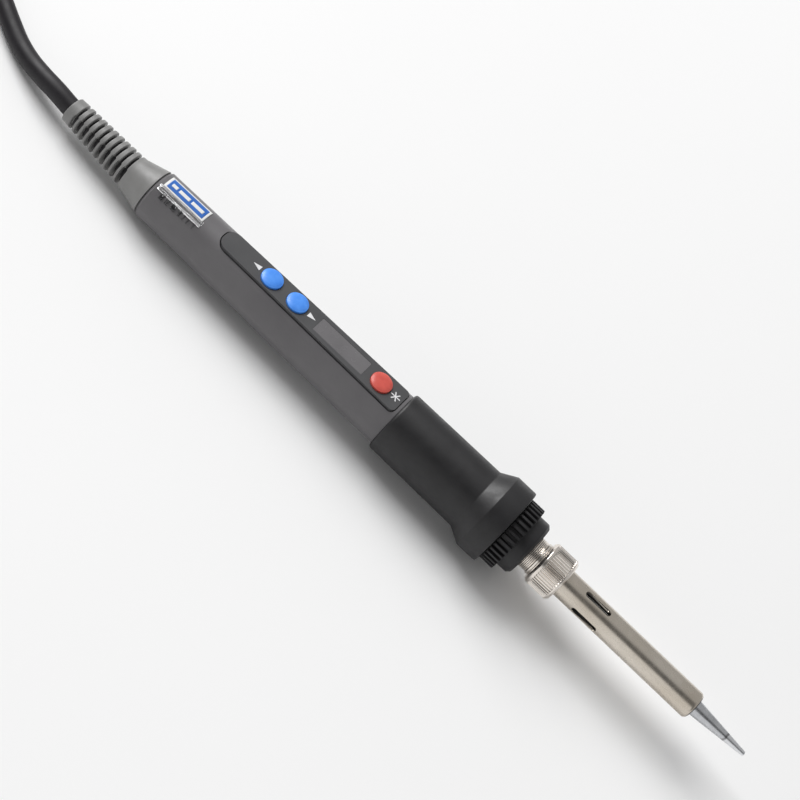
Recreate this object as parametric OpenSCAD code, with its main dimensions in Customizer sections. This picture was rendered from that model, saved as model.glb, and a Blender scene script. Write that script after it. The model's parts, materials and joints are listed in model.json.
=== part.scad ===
// Hand-held temperature-controlled soldering iron with its mains lead.
// Everything from the boot to the tip is drawn in the iron's own frame: X runs along the
// axis towards the tip, X = 0 is the rear face of the handle and Z is up through the panel.
// place() then lays the iron on the surface Z = 0, where it rests on the collar of the
// grip and on the rear edge of the handle. The lead and its plug are drawn on the surface.

/* [Handle] */
// Length of the two handle shells behind the grip sleeve
body_len = 87; // [75:1:110]
// Radius of the handle at its rear end
body_rear_r = 7.35; // [7:0.05:9.5]
// Radius of the handle where it meets the grip sleeve
body_front_r = 8.2; // [7.8:0.05:9.8]
// Wall of the handle shells
shell_wall = 1.5; // [1.2:0.1:1.9]
// Bevel on the rear edge of the handle
body_bevel = 0.8; // [0.3:0.1:1.2]
// Thickness of the end wall that holds the cord boot
rear_wall = 2; // [1.5:0.1:3]

/* [Control panel] */
// Distance from the rear of the handle to the panel
panel_start = 22.4; // [18:0.1:26]
// Length of the panel
panel_len = 63.5; // [60:0.5:64]
// Width of the panel at its rear end
panel_rear_w = 7.1; // [6.8:0.1:8]
// Width of the panel at its front end
panel_front_w = 8.8; // [8:0.1:9.2]
// How far the panel's face lies below the top of the handle's mean radius
panel_drop = 0.27; // [0:0.02:0.6]
// Thickness of the panel
panel_t = 1.2; // [0.8:0.1:1.4]
// Corner radius at the rounded rear end of the panel
panel_rear_corner = 2.9; // [1:0.1:3.3]
// Corner radius at the front end of the panel
panel_front_corner = 1.3; // [0.5:0.1:3]
// Groove between the panel and the shell
panel_gap = 0.3; // [0.15:0.05:0.4]

/* [Buttons and display] */
// Diameter of the three push buttons
button_d = 6.3; // [5:0.1:6.5]
// Travel of a push button
button_travel = 0.4; // [0.2:0.05:0.5]
// Radial clearance of a button in the panel
button_gap = 0.1; // [0.05:0.05:0.15]
// Straight side of a button that stands above the panel
button_side = 0.45; // [0.4:0.05:1]
// Crown of a button above its straight side
button_crown = 0.55; // [0.3:0.05:1]
// Distance from the panel's rear end to the first blue button
down_button_at = 16.9; // [14:0.1:18]
// Distance between the two blue buttons
button_pitch = 9.1; // [8.5:0.1:9.5]
// Distance from the panel's front end to the red button
power_button_at = 7.4; // [7:0.1:7.6]
// Length of the display window
window_len = 17.4; // [12:0.1:18]
// Width of the display window
window_w = 5.35; // [4:0.05:5.6]
// Distance from the panel's rear end to the display window
window_at = 33.5; // [32:0.1:34]

/* [Grip] */
// Length of the straight part of the rubber sleeve
sleeve_len = 30; // [20:0.5:45]
// Radius of the sleeve at its rear end
sleeve_rear_r = 9.25; // [9:0.05:11]
// Radius of the sleeve at the foot of the flare
sleeve_front_r = 9.5; // [9:0.05:11]
// Length of the flare
flare_len = 4.4; // [3:0.1:6]
// Length of the collar that guards the fingers
collar_len = 6.4; // [4:0.1:9]
// Radius of the collar
collar_r = 11.9; // [11:0.05:14]
// Radius of the shells where they run on inside the sleeve
nose_r = 7.3; // [6.6:0.05:7.4]

/* [Nose cap and barrel] */
// Length of the knurled ring of the nose cap
cap_ring_len = 4.6; // [3:0.1:7]
// Radius of the knurled ring
cap_ring_r = 10.2; // [9.6:0.05:10.9]
// Number of grooves in the knurled ring
cap_grooves = 36; // [24:1:48]
// Length of the smooth end of the nose cap
cap_end_len = 4.2; // [3.5:0.1:7]
// Radius of the smooth end
cap_end_r = 8.4; // [8.2:0.05:9.4]
// Radius of the threaded metal neck
neck_r = 4.85; // [4.6:0.05:5.2]
// Length of neck that shows between the nose cap and the nut
neck_shown = 3.7; // [2:0.1:8]
// Height of the rolled rim on the neck
neck_rim = 0.25; // [0.1:0.05:0.5]
// Length of the knurled nut
nut_len = 8.2; // [6:0.1:12]
// Radius of the knurled nut
nut_r = 6.6; // [6.2:0.05:8]
// Number of grooves in the nut
nut_grooves = 48; // [32:1:60]
// Length of barrel in front of the nut
barrel_len = 47; // [38:0.5:60]
// Radius of the barrel
barrel_r = 4.1; // [3.9:0.05:4.3]
// Wall of the barrel
barrel_wall = 0.45; // [0.3:0.05:0.55]
// Distance from the nut to the slots in the barrel
slot_at = 6; // [3:0.5:12]
// Length of a slot
slot_len = 8.6; // [5:0.1:12]
// Width of a slot
slot_w = 1.7; // [0.8:0.1:2]
// Turn of the slots about the axis
slot_turn = 6; // [-45:1:45]

/* [Tip and heater] */
// Length of tip in front of the barrel
tip_len = 17.8; // [12:0.1:25]
// Radius of the tip where it leaves the barrel
tip_base_r = 2.35; // [2:0.05:2.9]
// Radius of the working end
tip_point_r = 0.7; // [0.2:0.05:1]
// Length of the tip's shank inside the barrel
shank_len = 25.5; // [18:0.5:30]
// Radius of the heating element
heater_r = 1.95; // [1.6:0.05:2.05]
// Radial clearance of the tip on the heating element
heater_gap = 0.1; // [0.05:0.05:0.15]
// Radial clearance where one piece turns or slides on another
running_gap = 0.1; // [0.05:0.01:0.1]

/* [Cord boot] */
// Length of the smooth cone of the boot
boot_cone_len = 6.8; // [4:0.1:12]
// Length of the ribbed part of the boot
boot_rib_len = 24.2; // [20:0.1:40]
// Radius of the ribbed part at the cone
boot_front_r = 5.2; // [4.8:0.05:6.5]
// Radius of the ribbed part at its rear end
boot_rear_r = 3.85; // [3.8:0.05:5]
// Number of grooves
boot_grooves = 10; // [6:1:12]
// Width of a groove
groove_w = 0.9; // [0.5:0.1:1.2]
// Depth of a groove
groove_depth = 0.6; // [0.2:0.1:0.8]
// Bend of the ribbed part to the side
boot_bend = 4; // [0:0.5:8]

/* [Mains lead] */
// Diameter of the mains lead
cord_d = 5.6; // [5:0.1:6]
// Radius of the plug's round body
plug_r = 18.75; // [17:0.25:19.5]
// Thickness of the plug's body
plug_t = 22; // [18:0.5:26]
// Radius of a plug pin
pin_r = 2.4; // [2:0.05:2.4]
// Length of a plug pin
pin_len = 19; // [17:0.5:19]
// Distance between the plug pins
pin_spacing = 19; // [17.5:0.5:19]
// Length of the plug's strain relief
plug_relief_len = 20; // [15:1:30]

/* [Hidden] */
$fn = 96;
seam = 0.05; // clearance of pieces that are fixed to each other
cord_r = cord_d / 2;

// Stations along the axis
panel_end = panel_start + panel_len;
collar_x = body_len + sleeve_len + flare_len;
cap_x = collar_x + collar_len;
nose_end = cap_x + cap_ring_len + 0.6;
cap_front = cap_x + cap_ring_len + cap_end_len;
nut_x = cap_front + neck_shown;
nut_wall = 1.4;
flange_t = 0.8;
flange_x = nut_x + nut_len - nut_wall - flange_t - running_gap;
neck_front = flange_x - running_gap;
barrel_x = nut_x + nut_len;
barrel_front = barrel_x + barrel_len;
tip_end = barrel_front + tip_len;
shank_x = barrel_front - shank_len;

// Radii of the handle
function body_r(x) = body_rear_r + (body_front_r - body_rear_r) * x / body_len;
function inner_r(x) = body_r(x) - shell_wall;
nose_inner_r = nose_r - shell_wall;
boot_neck_r = 4.9;
neck_inner_r = neck_r - 1;
barrel_inner_r = barrel_r - barrel_wall;
barrel_neck_r = barrel_r - 0.45; // inside the nut
barrel_flange_r = neck_r - 0.05;
shank_r = barrel_inner_r - 0.3;

// Heights in the handle, from the panel's face down
panel_z = (body_rear_r + body_front_r) / 2 - panel_drop;
panel_low = panel_z - panel_t;
button_flange_t = 0.5;
button_flange_top = panel_low - 0.1;
button_flange_low = button_flange_top - button_flange_t;
button_flange_r = button_d / 2 + 0.25;
switch_top = button_flange_low - button_travel - 0.5;
switch_h = 2;
board_top = switch_top - switch_h;
board_t = 1;
board_low = board_top - board_t;
plunger_r = 1;

// Places along the handle
down_x = panel_start + down_button_at;
up_x = down_x + button_pitch;
power_x = panel_end - power_button_at;
window_x = panel_start + window_at;
button_places = [down_x, up_x, power_x];
well_half_w = button_flange_r + 0.2;
well_x = down_x - button_flange_r - 0.6;
well_end = power_x + button_flange_r + 0.4;
mark_t = 0.06;
mark_gap = 0.9;
triangle_len = 2.5;
triangle_w = 1.7;
asterisk_r = 1.5;
asterisk_w = 0.3;

// Circuit board
board_x = 17;
board_end = panel_end - 2;
board_half_w = sqrt(pow(inner_r(board_x), 2) - pow(board_top, 2)) - 0.3;
rest_places = [board_x + 8, board_end - 8];
screw_x = 13.5;
screw_r = 1;
screw_head_r = 1.9;
boss_r = 2.2;
clamp_x = 3.8;
clamp_len = 4.2;
clamp_wall = 1.2;
rib_t = 1;
cord_end = 9.8;
wire_r = 0.6;
wire_y = boss_r + wire_r + 0.4;
earth_side = boss_r + 0.5 + wire_r + 0.4;
earth_y = -0.76 * (neck_r - 0.4);
earth_z = -0.65 * (neck_r - 0.4);
lead_r = 0.35;

// Label behind the panel
label_x = 1.6;
label_len = 14.6;
label_t = 0.15;
label_from = -46;
label_to = 24;

// Nose cap and heater
cap_gap = 0.15;
cap_knurl_depth = 0.5;
cap_knurl_w = 0.75;
nut_knurl_depth = 0.3;
nut_knurl_w = 0.35;
neck_flange_t = 1.2;
neck_seat = 4;
heater_base_x = nose_end - neck_seat - 2;
heater_base_len = 11;
heater_end = barrel_front - 6;

// The iron lies on the rear edge of the handle and on the rear edge of the collar
rest_tilt = atan((collar_r - body_rear_r) / (collar_x - body_bevel));
boot_rear_x = -boot_cone_len - boot_rib_len * cos(boot_bend);
frame_x = -(tip_end * cos(rest_tilt) + boot_rear_x * cos(rest_tilt)
    - boot_rear_r * sin(boot_bend)) / 2;
rest_z = collar_r * cos(rest_tilt) - collar_x * sin(rest_tilt);
function in_world(p) = [
    frame_x + p[0] * cos(rest_tilt) - p[2] * sin(rest_tilt),
    p[1],
    rest_z + p[0] * sin(rest_tilt) + p[2] * cos(rest_tilt)
];
cord_exit = in_world([boot_rear_x, boot_rib_len * sin(boot_bend), 0]);

// Route of the lead from the boot to the hank: distance behind the boot, sideways place
// and height of each point
lead_route = [
    [-6, 2.3, 6.1], [-12, 3.4, 5.1], [-18, 5.2, 3.8], [-24, 7.7, 3.0], [-30, 10.8, 2.8],
    [-36, 14.1, 2.8], [-42, 17.3, 2.8], [-48, 20.2, 2.8], [-54, 22.8, 2.8], [-60, 25, 2.8],
    [-66, 26.6, 2.8], [-72, 27.6, 2.8], [-78, 28, 2.8], [-83, 28, 2.8]
];
// Route of the lead from the hank to the plug
plug_route = [
    [-115, 28, 8.4], [-121, 27.6, 8.4], [-127, 25.8, 8.6], [-133, 22.7, 8.9],
    [-139, 19.1, 9.5], [-145, 15.6, 10.1], [-151, 12.9, 10.6], [-156, 11.5, 10.9],
    [-160, 11, 11]
];
hank_x = -52; // end of the hank nearest to the iron, behind the boot
hank_len = 94;
hank_y = 0;
hank_fold_r = 28; // bend of the outer turns
hank_layers = 2;
tie_t = 0.6;
tie_w = 8;
hank_h = hank_layers * cord_d + tie_t;
lead_end = plug_route[len(plug_route) - 1];
relief_overlap = 2; // how far the plug's relief reaches into its body
relief_root_r = 7.5;
relief_end_r = cord_r + 1;
plug_y = lead_end[1];
plug_z = plug_t / 2;
plug_x = cord_exit[0] + lead_end[0] - plug_relief_len - plug_r + relief_overlap;
plug_edge = 1.2;
earth_hole_x = -9.5;
earth_hole_r = 2.6;
earth_hole_depth = 16;
clip_slot_w = 6.4;
clip_slot_len = 13;
clip_slot_r = plug_r - 3.6; // from the plug's axis to the floor of a slot

// ---------- helpers ----------

// Lays the iron on the surface
module place() {
    translate([frame_x, 0, rest_z])
        rotate([0, -rest_tilt, 0])
            children();
}

// A cylinder or cone along the axis
module along(x, length, r, r_end = -1) {
    translate([x, 0, 0])
        rotate([0, 90, 0])
            cylinder(h = length, r1 = r, r2 = r_end < 0 ? r : r_end);
}

// A turned piece: points are [radius, station]
module turned(points) {
    rotate([0, 90, 0])
        rotate_extrude()
            polygon(points);
}

function arc(cx, cy, r, from, to, steps = 6) = [
    for (i = [0:steps])
        let (a = from + (to - from) * i / steps)
            [cx + r * cos(a), cy + r * sin(a)]
];

// A block given by its lowest and highest corner
module block(low, high) {
    translate(low)
        cube(high - low);
}

// Grooves along the axis, all round
module axial_grooves(x, length, r, count, width, depth) {
    for (i = [0:count - 1])
        rotate([360 * i / count, 0, 0])
            block([x, -width / 2, r - depth], [x + length, width / 2, r + 1]);
}

// A tube swept along points, as one closed surface
function direction(points, i) =
    let (
        a = points[max(i - 1, 0)],
        b = points[min(i + 1, len(points) - 1)]
    ) (b - a) / norm(b - a);
function tube_ring(centre, along_it, r, sides) =
    let (
        side = cross(along_it, [0, 0, 1]) / norm(cross(along_it, [0, 0, 1])),
        up = cross(side, along_it)
    )
    [for (k = [0:sides - 1]) centre + r * (cos(360 * k / sides) * side + sin(360 * k / sides) * up)];
module tube(points, r, sides = 10) {
    last = len(points) - 1;
    rings = [for (i = [0:last]) each tube_ring(points[i], direction(points, i), r, sides)];
    walls = [
        for (i = [0:last - 1])
            for (k = [0:sides - 1])
                let (n = (k + 1) % sides)
                    [i * sides + k, i * sides + n, (i + 1) * sides + n, (i + 1) * sides + k]
    ];
    first_cap = [for (k = [sides - 1:-1:0]) k];
    last_cap = [for (k = [0:sides - 1]) last * sides + k];
    polyhedron(points = rings, faces = [each walls, first_cap, last_cap], convexity = 6);
}

// ---------- handle ----------

module handle_outline() {
    turned([
        [0, 0], [body_rear_r - body_bevel, 0], [body_rear_r, body_bevel],
        [body_front_r, body_len], [nose_r, body_len], [nose_r, nose_end], [0, nose_end]
    ]);
}

module handle_hollow() {
    turned([
        [0, rear_wall], [inner_r(rear_wall), rear_wall],
        [inner_r(body_len - 3), body_len - 3], [nose_inner_r, body_len - 1],
        [nose_inner_r, nose_end - neck_seat], [0, nose_end - neck_seat]
    ]);
    along(-1, rear_wall + 2, boot_neck_r + seam);
    along(nose_end - neck_seat - 1, neck_seat + 2, neck_r + seam);
}

// Ribs on both sides of the cord clamp, with a hole for the cord
module clamp_ribs() {
    for (x = [clamp_x - rib_t - seam + 0.1, clamp_x + clamp_len + seam])
        difference() {
            along(x, rib_t, inner_r(x) + 0.2);
            along(x - 1, rib_t + 2, cord_r + seam);
        }
}

// Outline of the panel seen from above, grown by a margin
module panel_outline(grow = 0) {
    rear = panel_rear_w / 2 + grow;
    front = panel_front_w / 2 + grow;
    rr = panel_rear_corner + grow;
    fr = panel_front_corner + grow;
    x0 = panel_start - grow;
    x1 = panel_end + grow;
    right = concat(
        arc(x0 + rr, rear - rr, rr, 180, 90, 8),
        arc(x1 - fr, front - fr, fr, 90, 0, 6)
    );
    left = [for (i = [len(right) - 1:-1:0]) [right[i][0], -right[i][1]]];
    polygon(concat(right, left));
}

// Room in the upper shell for the panel, the buttons and the display
module panel_recess() {
    translate([0, 0, panel_low])
        linear_extrude(height = 5)
            panel_outline(panel_gap);
    block([well_x, -well_half_w, board_top], [well_end, well_half_w, panel_low + 1]);
}

module shell_body() {
    difference() {
        handle_outline();
        handle_hollow();
    }
    clamp_ribs();
}

module upper_shell() {
    color("#4f4c50")
        place()
            difference() {
                union() {
                    difference() {
                        shell_body();
                        panel_recess();
                    }
                    translate([screw_x, 0, 0])
                        cylinder(h = inner_r(screw_x) + 0.3, r = boss_r);
                }
                block([-1, -20, -30], [nose_end + 1, 20, 0]);
                translate([screw_x, 0, -1])
                    cylinder(h = 5.5, r = screw_r + seam);
            }
}

module lower_shell() {
    color("#4b484c")
        place()
            difference() {
                union() {
                    shell_body();
                    translate([screw_x, 0, -inner_r(screw_x) - 0.5])
                        cylinder(h = inner_r(screw_x) + 1, r = boss_r + 0.5);
                    for (x = rest_places)
                        block([x, -2, -inner_r(x) - 0.2], [x + 1.4, 2, board_low]);
                }
                block([-1, -20, 0], [nose_end + 1, 20, 30]);
                translate([screw_x, 0, -3])
                    cylinder(h = 10, r = screw_r + 0.15);
                translate([screw_x, 0, -20])
                    cylinder(h = 18, r = screw_head_r + 0.2);
            }
}

module shell_screw() {
    color("silver")
        place()
            translate([screw_x, 0, 0])
                difference() {
                    union() {
                        translate([0, 0, -2])
                            cylinder(h = 6, r = screw_r);
                        translate([0, 0, -3.4])
                            cylinder(h = 1.4, r = screw_head_r);
                    }
                    for (turn = [0, 90])
                        rotate([0, 0, turn])
                            block([-1.1, -0.25, -4], [1.1, 0.25, -2.8]);
                }
}

module control_panel() {
    color("#454547")
        place()
            difference() {
                translate([0, 0, panel_low])
                    linear_extrude(height = panel_t)
                        panel_outline();
                block(
                    [window_x, -window_w / 2, panel_low - 1],
                    [window_x + window_len, window_w / 2, panel_z + 1]
                );
                for (x = button_places)
                    translate([x, 0, panel_low - 1])
                        cylinder(h = panel_t + 2, r = button_d / 2 + button_gap);
            }
}

// Printed marks: a triangle beyond each blue button and an asterisk in front of the red one
module panel_marks() {
    reach = button_d / 2 + mark_gap;
    star_x = power_x + button_d / 2 + 0.5 + asterisk_r;
    color("white")
        place()
            translate([0, 0, panel_z])
                linear_extrude(height = mark_t) {
                    polygon([
                        [down_x - reach, triangle_w / 2], [down_x - reach, -triangle_w / 2],
                        [down_x - reach - triangle_len, 0]
                    ]);
                    polygon([
                        [up_x + reach, triangle_w / 2], [up_x + reach, -triangle_w / 2],
                        [up_x + reach + triangle_len, 0]
                    ]);
                    for (turn = [0, 60, 120])
                        translate([star_x, 0])
                            rotate(turn)
                                square([2 * asterisk_r, asterisk_w], center = true);
                }
}

module display_window() {
    color("#7d7a7d")
        place()
            block(
                [window_x + seam, -window_w / 2 + seam, panel_low],
                [window_x + window_len - seam, window_w / 2 - seam, panel_z - seam]
            );
}

module lcd_glass() {
    color("#8b8f86")
        place()
            block(
                [window_x - 0.8, -window_w / 2 - 0.4, panel_low - 1.4],
                [window_x + window_len + 0.8, window_w / 2 + 0.4, panel_low - 0.1]
            );
}

module lcd_backlight() {
    color("ivory")
        place()
            block(
                [window_x - 0.4, -window_w / 2 - 0.2, board_top],
                [window_x + window_len + 0.4, window_w / 2 + 0.2, panel_low - 1.4]
            );
}

// ---------- buttons ----------

module button_cap(x) {
    r = button_d / 2;
    edge = panel_z + button_side;
    place()
        translate([x, 0, 0])
            rotate_extrude()
                polygon([
                    [0, button_flange_low], [button_flange_r, button_flange_low],
                    [button_flange_r, button_flange_top], [r, button_flange_top],
                    [r, edge], [r - 0.18, edge + 0.45 * button_crown],
                    [r - 0.7, edge + 0.72 * button_crown], [r * 0.45, edge + 0.93 * button_crown],
                    [0, edge + button_crown]
                ]);
}

module plunger(x) {
    color("#2a2a2a")
        place()
            translate([x, 0, switch_top - 1.1])
                cylinder(h = button_flange_low - switch_top + 1.1, r = plunger_r);
}

module down_button() {
    color("#4f96f0")
        button_cap(down_x);
}

module up_button() {
    color("#4f96f0")
        button_cap(up_x);
}

module power_button() {
    color("#e05f55")
        button_cap(power_x);
}

module down_plunger() {
    plunger(down_x);
}

module up_plunger() {
    plunger(up_x);
}

module power_plunger() {
    plunger(power_x);
}

module switch_bodies() {
    color("#b9b9b4")
        place()
            for (x = button_places)
                difference() {
                    block([x - 2.3, -2.3, board_top], [x + 2.3, 2.3, switch_top]);
                    translate([x, 0, switch_top - 1.1 - button_travel - 0.2])
                        cylinder(h = 5, r = plunger_r + running_gap);
                }
}

// ---------- electronics ----------

module circuit_board() {
    color("#1f5c38")
        place()
            block([board_x, -board_half_w, board_low], [board_end, board_half_w, board_top]);
}

module microcontroller() {
    color("#202020")
        place() {
            block([44, -2, board_low - 1.5], [52, 2, board_low - 0.1]);
            for (i = [0:6])
                for (side = [-1, 1])
                    block(
                        [44.6 + i * 1.1, side * 2.4 - 0.4, board_low - 0.6],
                        [45.0 + i * 1.1, side * 2.4 + 0.4, board_low]
                    );
        }
}

module triac() {
    color("#262626")
        place()
            difference() {
                block([61, -1.8, board_low - 2.6], [71, 3.4, board_low]);
                translate([69, 0.8, board_low - 3])
                    cylinder(h = 4, r = 1);
            }
}

module filter_capacitor() {
    color("#2b3f6b")
        place()
            translate([0, 1.6, board_low - 2.3])
                along(28, 10, 2.2);
}

module trimmer() {
    color("#2f6fc0")
        place()
            difference() {
                block([55, -1.5, board_low - 2], [58.4, 2, board_low]);
                block([55.6, 0.05, board_low - 2.4], [57.8, 0.45, board_low - 1.6]);
            }
}

module mains_wires() {
    over = board_top + wire_r;
    x = cord_end + seam;
    color("saddlebrown")
        place()
            for (side = [-1, 1])
                tube(
                    [
                        [x, side * 1.2, 0.9], [x + 0.5, side * 1.25, 0.9],
                        [x + 1.5, side * (wire_y - 0.6), 1.3], [x + 2.7, side * wire_y, 2],
                        [board_x - 1.5, side * wire_y, over], [board_x + 5, side * wire_y, over]
                    ],
                    wire_r, 8
                );
}

module earth_wire() {
    x = cord_end + seam;
    color("yellowgreen")
        place()
            tube(
                [
                    [x, -2, -0.8], [x + 0.5, -2.05, -0.8], [x + 1.4, 0.8 - earth_side, -1.3],
                    [x + 2.4, 0.2 - earth_side, -1.8], [x + 3.8, -earth_side, -2.3],
                    [x + 8, -earth_side, -2.7], [nose_end - neck_seat, earth_y, earth_z]
                ],
                wire_r, 8
            );
}

module heater_wires() {
    color("white")
        place()
            for (y = [-2.4, -0.8, 0.8, 2.4])
                tube(
                    [
                        [board_end - 3, y, board_top + lead_r], [board_end + 4, y, board_top + lead_r],
                        [board_end + 7, y, board_top - 0.2], [heater_base_x - 8, y, 0.8],
                        [heater_base_x - 5, y, 0.6], [heater_base_x, y, 0.6]
                    ],
                    lead_r, 8
                );
}

// ---------- cord entry ----------

// The bent part of the boot, drawn straight and turned about the end of the cone
module bent() {
    translate([-boot_cone_len, 0, 0])
        rotate([0, 0, -boot_bend])
            children();
}

module cord_boot() {
    pitch = (boot_rib_len - 3) / boot_grooves;
    taper = (boot_front_r - boot_rear_r) / boot_rib_len;
    color("#777778")
        place()
            difference() {
                union() {
                    turned([
                        [0, -boot_cone_len], [boot_front_r + 0.1, -boot_cone_len],
                        [body_rear_r - 0.25, -seam], [boot_neck_r, -seam],
                        [boot_neck_r, rear_wall + seam], [boot_neck_r + 0.7, rear_wall + seam],
                        [boot_neck_r + 0.7, clamp_x - rib_t - 0.1], [0, clamp_x - rib_t - 0.1]
                    ]);
                    bent()
                        difference() {
                            along(-boot_rib_len, boot_rib_len + 0.8, boot_rear_r, boot_front_r - 0.1);
                            for (i = [0:boot_grooves - 1])
                                ring_cut(
                                    -1.9 - i * pitch,
                                    boot_front_r - taper * (1.9 + i * pitch) - groove_depth
                                );
                        }
                }
                along(-boot_cone_len + 0.5, boot_cone_len + 10, cord_r + 0.2);
                bent()
                    along(-boot_rib_len - 1, boot_rib_len + 2.2, cord_r + seam);
            }
}

module ring_cut(x, r) {
    difference() {
        along(x - groove_w / 2, groove_w, 20);
        along(x - groove_w / 2 - 1, groove_w + 2, r);
    }
}

// The end of the lead inside the boot and the handle
module cord_end_piece() {
    rear = [-boot_cone_len - boot_rib_len * cos(boot_bend), boot_rib_len * sin(boot_bend), 0];
    color("#26232a")
        place()
            tube([rear, [-boot_cone_len, 0, 0], [cord_end, 0, 0]], cord_r, 12);
}

module cord_clamp() {
    color("#3a3a3c")
        place()
            difference() {
                along(clamp_x + 0.1, clamp_len - 0.1, cord_r + clamp_wall);
                along(clamp_x - 1, clamp_len + 2, cord_r + seam);
            }
}

module rear_label() {
    front = label_x + label_len;
    reach = 20;
    color("#3f7fd0")
        place()
            intersection() {
                turned([
                    [body_r(label_x), label_x], [body_r(label_x) + label_t, label_x],
                    [body_r(front) + label_t, front], [body_r(front), front]
                ]);
                rotate([0, 90, 0])
                    linear_extrude(height = 60)
                        polygon([
                            [0, 0],
                            [-reach * cos(label_from), reach * sin(label_from)],
                            [-reach * cos((label_from + label_to) / 2) * 2,
                                reach * sin((label_from + label_to) / 2) * 2],
                            [-reach * cos(label_to), reach * sin(label_to)]
                        ]);
            }
}

// ---------- grip, nose and barrel ----------

module grip_sleeve() {
    edge = 0.8;
    color("#2a282b")
        place()
            difference() {
                turned(concat(
                    [[0, body_len + seam]],
                    arc(sleeve_rear_r - edge, body_len + seam + edge, edge, -90, 0),
                    [[sleeve_front_r, body_len + sleeve_len], [collar_r, collar_x]],
                    arc(collar_r - edge / 2, cap_x - edge / 2, edge / 2, 0, 90),
                    [[0, cap_x]]
                ));
                along(body_len - 1, sleeve_len + flare_len + collar_len + 2, nose_r + seam);
            }
}

module nose_cap() {
    chamfer = 0.9;
    ring_end = cap_x + cap_ring_len;
    color("#242226")
        place()
            difference() {
                turned([
                    [0, cap_x + cap_gap], [cap_ring_r, cap_x + cap_gap], [cap_ring_r, ring_end],
                    [cap_end_r, ring_end], [cap_end_r, cap_front - chamfer],
                    [cap_end_r - chamfer, cap_front], [0, cap_front]
                ]);
                axial_grooves(
                    cap_x, cap_ring_len, cap_ring_r, cap_grooves, cap_knurl_w, cap_knurl_depth
                );
                along(cap_x - 1, nose_end + neck_flange_t + 1.1 - cap_x, nose_r + running_gap);
                along(cap_x - 1, 20, neck_r + neck_rim + running_gap);
            }
}

module threaded_neck() {
    rim_x = nut_x - 1.1;
    color("#cfc8bd")
        place()
            difference() {
                turned([
                    [0, nose_end - neck_seat], [neck_r, nose_end - neck_seat],
                    [neck_r, nose_end], [nose_r - 0.2, nose_end],
                    [nose_r - 0.2, nose_end + neck_flange_t], [neck_r, nose_end + neck_flange_t],
                    [neck_r, rim_x], [neck_r + neck_rim, rim_x + 0.2],
                    [neck_r + neck_rim, rim_x + 0.7], [neck_r, rim_x + 0.9],
                    [neck_r, neck_front], [0, neck_front]
                ]);
                along(nose_end - neck_seat - 1, 40, neck_inner_r);
            }
}

module heater_base() {
    color("#e8e4da")
        place()
            difference() {
                along(heater_base_x, heater_base_len, neck_inner_r - seam);
                along(heater_base_x + 1.5, heater_base_len, heater_r + seam);
            }
}

module heating_element() {
    color("#f2efe8")
        place()
            turned([
                [0, heater_base_x + 1.5], [heater_r, heater_base_x + 1.5],
                [heater_r, heater_end - 0.4], [heater_r - 0.4, heater_end], [0, heater_end]
            ]);
}

module barrel_nut() {
    chamfer = 0.7;
    color("#d2cabd")
        place()
            difference() {
                turned([
                    [0, nut_x], [nut_r - chamfer, nut_x], [nut_r, nut_x + chamfer],
                    [nut_r, barrel_x - chamfer], [nut_r - chamfer, barrel_x], [0, barrel_x]
                ]);
                axial_grooves(
                    nut_x + 1.1, nut_len - 2.2, nut_r, nut_grooves, nut_knurl_w, nut_knurl_depth
                );
                along(nut_x - 1, nut_len - nut_wall + 1, neck_r + running_gap);
                along(nut_x - 1, nut_len + 2, barrel_neck_r + running_gap);
            }
}

module barrel_tube() {
    round_r = 1.1;
    front_wall = 0.8;
    color("#bcb3a8")
        place()
            difference() {
                turned(concat(
                    [
                        [0, flange_x], [barrel_flange_r, flange_x],
                        [barrel_flange_r, flange_x + flange_t],
                        [barrel_neck_r, flange_x + flange_t],
                        [barrel_neck_r, barrel_x + running_gap], [barrel_r, barrel_x + running_gap]
                    ],
                    arc(barrel_r - round_r, barrel_front - round_r, round_r, 0, 90),
                    [[0, barrel_front]]
                ));
                turned([
                    [0, flange_x - 1], [barrel_neck_r - 0.5, flange_x - 1],
                    [barrel_neck_r - 0.5, barrel_x + 1], [barrel_inner_r, barrel_x + 1.5],
                    [barrel_inner_r, barrel_front - front_wall - 0.8],
                    [barrel_inner_r - 0.8, barrel_front - front_wall], [0, barrel_front - front_wall]
                ]);
                along(barrel_front - 3, 6, tip_base_r + 0.15);
                for (i = [0:3])
                    rotate([slot_turn + 90 * i, 0, 0])
                        slot();
            }
}

// One slot with round ends, through the top of the barrel
module slot() {
    x0 = barrel_x + slot_at + slot_w / 2;
    x1 = x0 + slot_len - slot_w;
    block([x0, -slot_w / 2, 1], [x1, slot_w / 2, barrel_r + 2]);
    for (x = [x0, x1])
        translate([x, 0, 1])
            cylinder(h = barrel_r + 1, r = slot_w / 2);
}

module soldering_tip() {
    shoulder = barrel_front - 0.8 - 0.9;
    color("#b9bcc2")
        place()
            difference() {
                turned([
                    [0, shank_x], [shank_r, shank_x], [shank_r, shoulder],
                    [tip_base_r + 0.05, shoulder + 0.8], [tip_base_r, barrel_front],
                    [tip_point_r, tip_end - 0.3], [tip_point_r * 0.6, tip_end], [0, tip_end]
                ]);
                along(shank_x - 1, heater_end + 1.5 - shank_x, heater_r + heater_gap);
            }
}

// ---------- mains lead and plug ----------

function behind_boot(p) = [cord_exit[0] + p[0], p[1], p[2]];

module mains_lead() {
    color("#26232a")
        tube([cord_exit, for (p = lead_route) behind_boot(p)], cord_r);
}

module plug_lead() {
    color("#26232a")
        tube([for (p = plug_route) behind_boot(p)], cord_r);
}

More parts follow.
